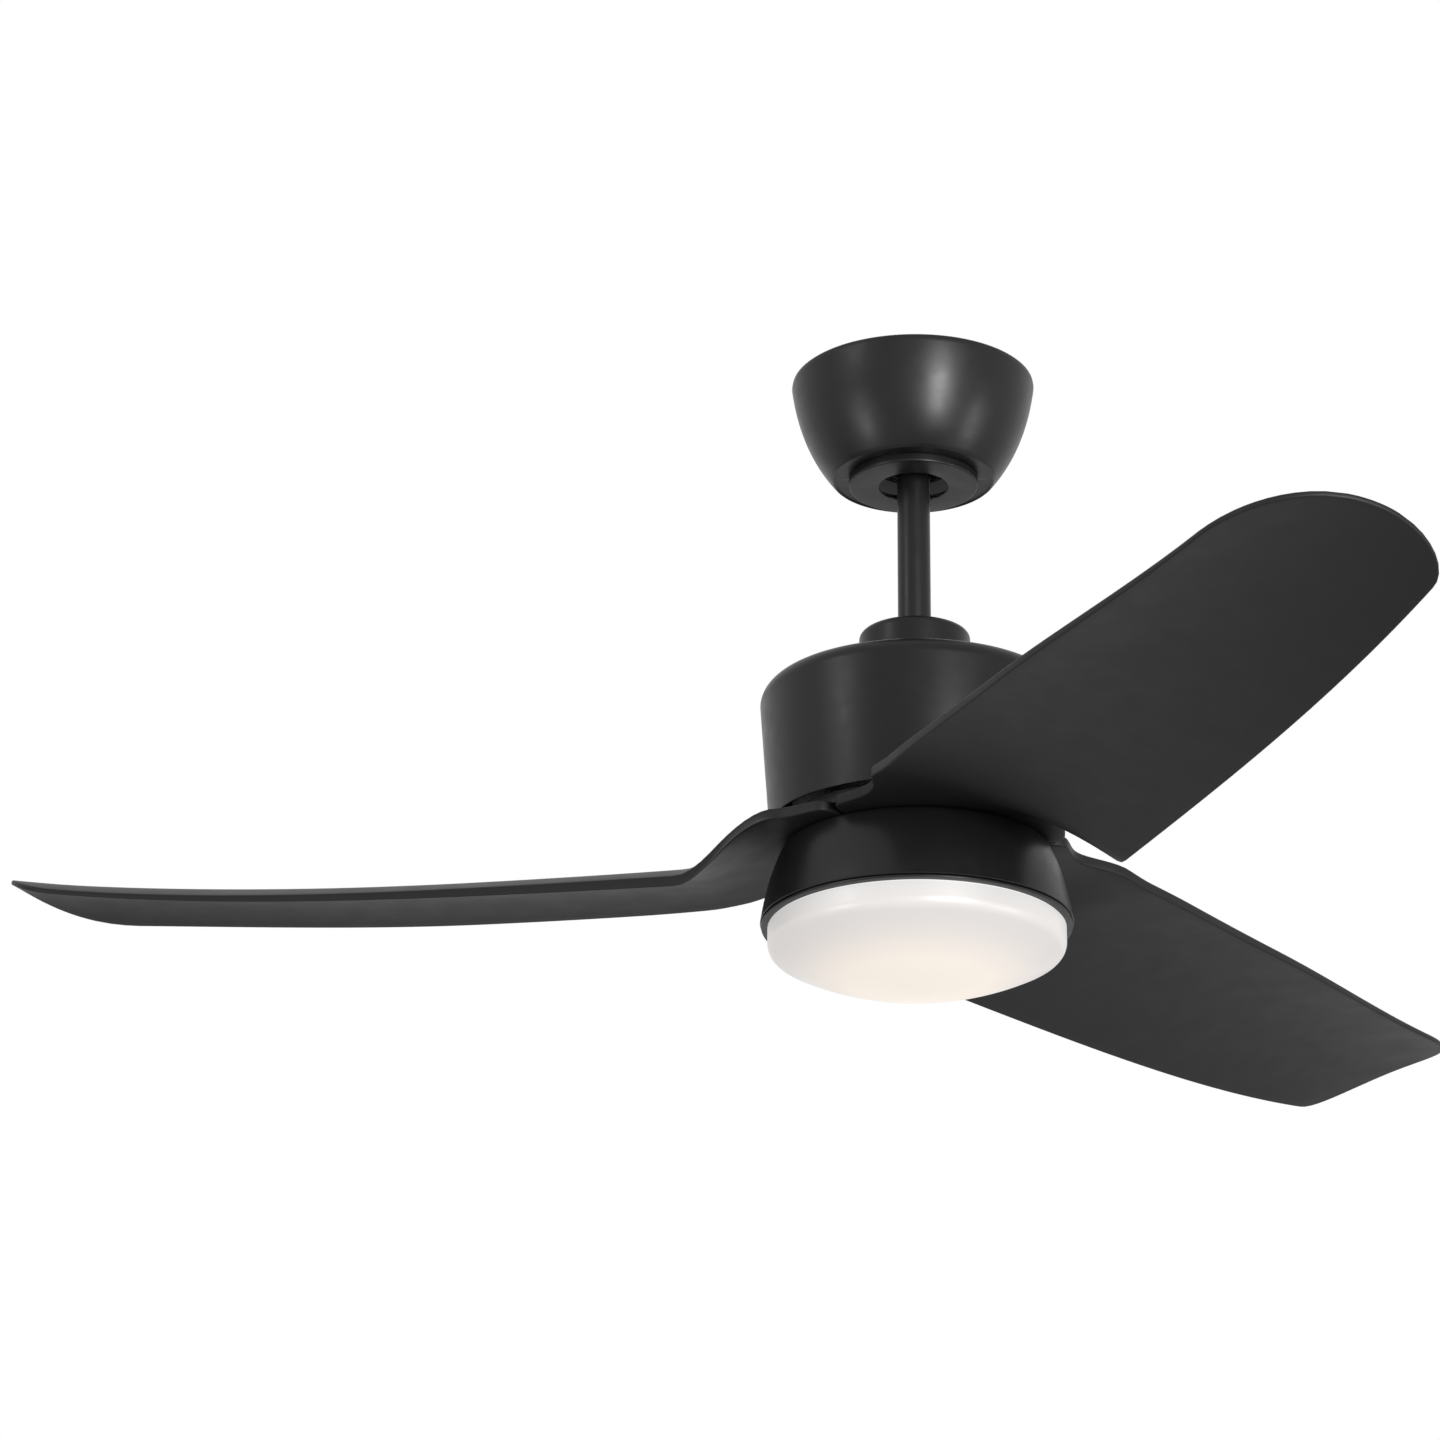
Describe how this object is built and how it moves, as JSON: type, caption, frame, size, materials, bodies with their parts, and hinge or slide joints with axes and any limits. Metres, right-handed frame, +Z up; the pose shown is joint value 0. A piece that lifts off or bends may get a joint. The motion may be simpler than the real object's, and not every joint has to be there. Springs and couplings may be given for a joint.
{
  "type": "ceiling fan with light",
  "caption": "Downrod ceiling fan with pitched moulded blades, a drum motor housing, a bowl canopy and a round opal light under the hub.",
  "frame": {"origin": "middle of the mounting bracket's top face, on the ceiling", "axes": "+Z up into the ceiling, along the downrod; +X along the mounting bracket; the fan hangs towards -Z"},
  "size_m": [1.0811, 1.1626, 0.4693],
  "materials": {
    "zinc": "zinc-plated steel, dull",
    "black_metal": "satin black powder coat",
    "black_blade": "matte black moulded plastic",
    "dark_steel": "black e-coated cast metal",
    "black_plastic": "black moulded plastic",
    "cast_aluminium": "die-cast aluminium, as cast",
    "nylon": "black nylon",
    "steel": "ground steel",
    "laminations": "stacked electrical steel",
    "copper": "enamelled copper wire",
    "magnet": "sintered ferrite",
    "white_plastic": "white moulded plastic",
    "aluminium": "mill finish",
    "board": "white solder mask",
    "opal": "opal diffusing plastic, lit from inside"
  },
  "bodies": {
    "ceiling_side": {"mounting_bracket": "zinc", "canopy": "black_metal", "canopy_trim_ring": "black_metal", "canopy_screw_1": "zinc", "canopy_screw_2": "zinc", "remote_receiver": "black_plastic"},
    "seat": {"ball_seat_ring": "nylon"},
    "hanging": {"hanger_ball": "black_plastic", "hanger_pin": "steel", "ball_set_screw": "zinc", "downrod": "black_metal", "yoke": "dark_steel", "clevis_pin": "steel", "yoke_set_screw_1": "zinc", "yoke_set_screw_2": "zinc", "coupling_cover": "black_metal", "motor_housing": "black_metal", "housing_screw_1": "zinc", "housing_screw_2": "zinc", "housing_screw_3": "zinc", "stator_core": "laminations", "stator_winding_upper": "copper", "stator_winding_lower": "copper", "upper_bearing_inner": "steel", "lower_bearing_inner": "steel", "motor_shaft": "steel", "light_fitter": "zinc", "light_housing": "black_metal", "fitter_screw_1": "zinc", "fitter_screw_2": "zinc", "fitter_screw_3": "zinc", "shaft_nut": "zinc", "led_driver": "white_plastic", "led_tray": "aluminium", "led_board": "board", "light_bezel": "black_metal"},
    "rotor": {"upper_bearing_outer": "steel", "lower_bearing_outer": "steel", "rotor_cup": "cast_aluminium", "rotor_cover": "cast_aluminium", "magnet_ring": "magnet", "blade_hub": "cast_aluminium", "blade_1": "black_blade", "blade_2": "black_blade", "blade_3": "black_blade", "blade_screw_1a": "zinc", "blade_screw_1b": "zinc", "blade_screw_1c": "zinc", "blade_screw_2a": "zinc", "blade_screw_2b": "zinc", "blade_screw_2c": "zinc", "blade_screw_3a": "zinc", "blade_screw_3b": "zinc", "blade_screw_3c": "zinc"},
    "lens": {"lens": "opal"}
  },
  "joints": [
    {"name": "ball_tilt_x", "type": "hinge", "parent": "ceiling_side", "child": "seat", "pos_m": [0, 0, -0.046], "axis": [1, 0, 0], "range_deg": [-12, 12]},
    {"name": "ball_tilt_y", "type": "hinge", "parent": "seat", "child": "hanging", "pos_m": [0, 0, -0.046], "axis": [0, 1, 0], "range_deg": [-12, 12]},
    {"name": "fan_spin", "type": "hinge", "parent": "hanging", "child": "rotor", "pos_m": [0, 0, -0.361], "axis": [0, 0, 1], "continuous": true},
    {"name": "lens_twist", "type": "hinge", "parent": "hanging", "child": "lens", "pos_m": [0, 0, -0.4247], "axis": [0, 0, 1], "range_deg": [0, 33]}
  ]
}
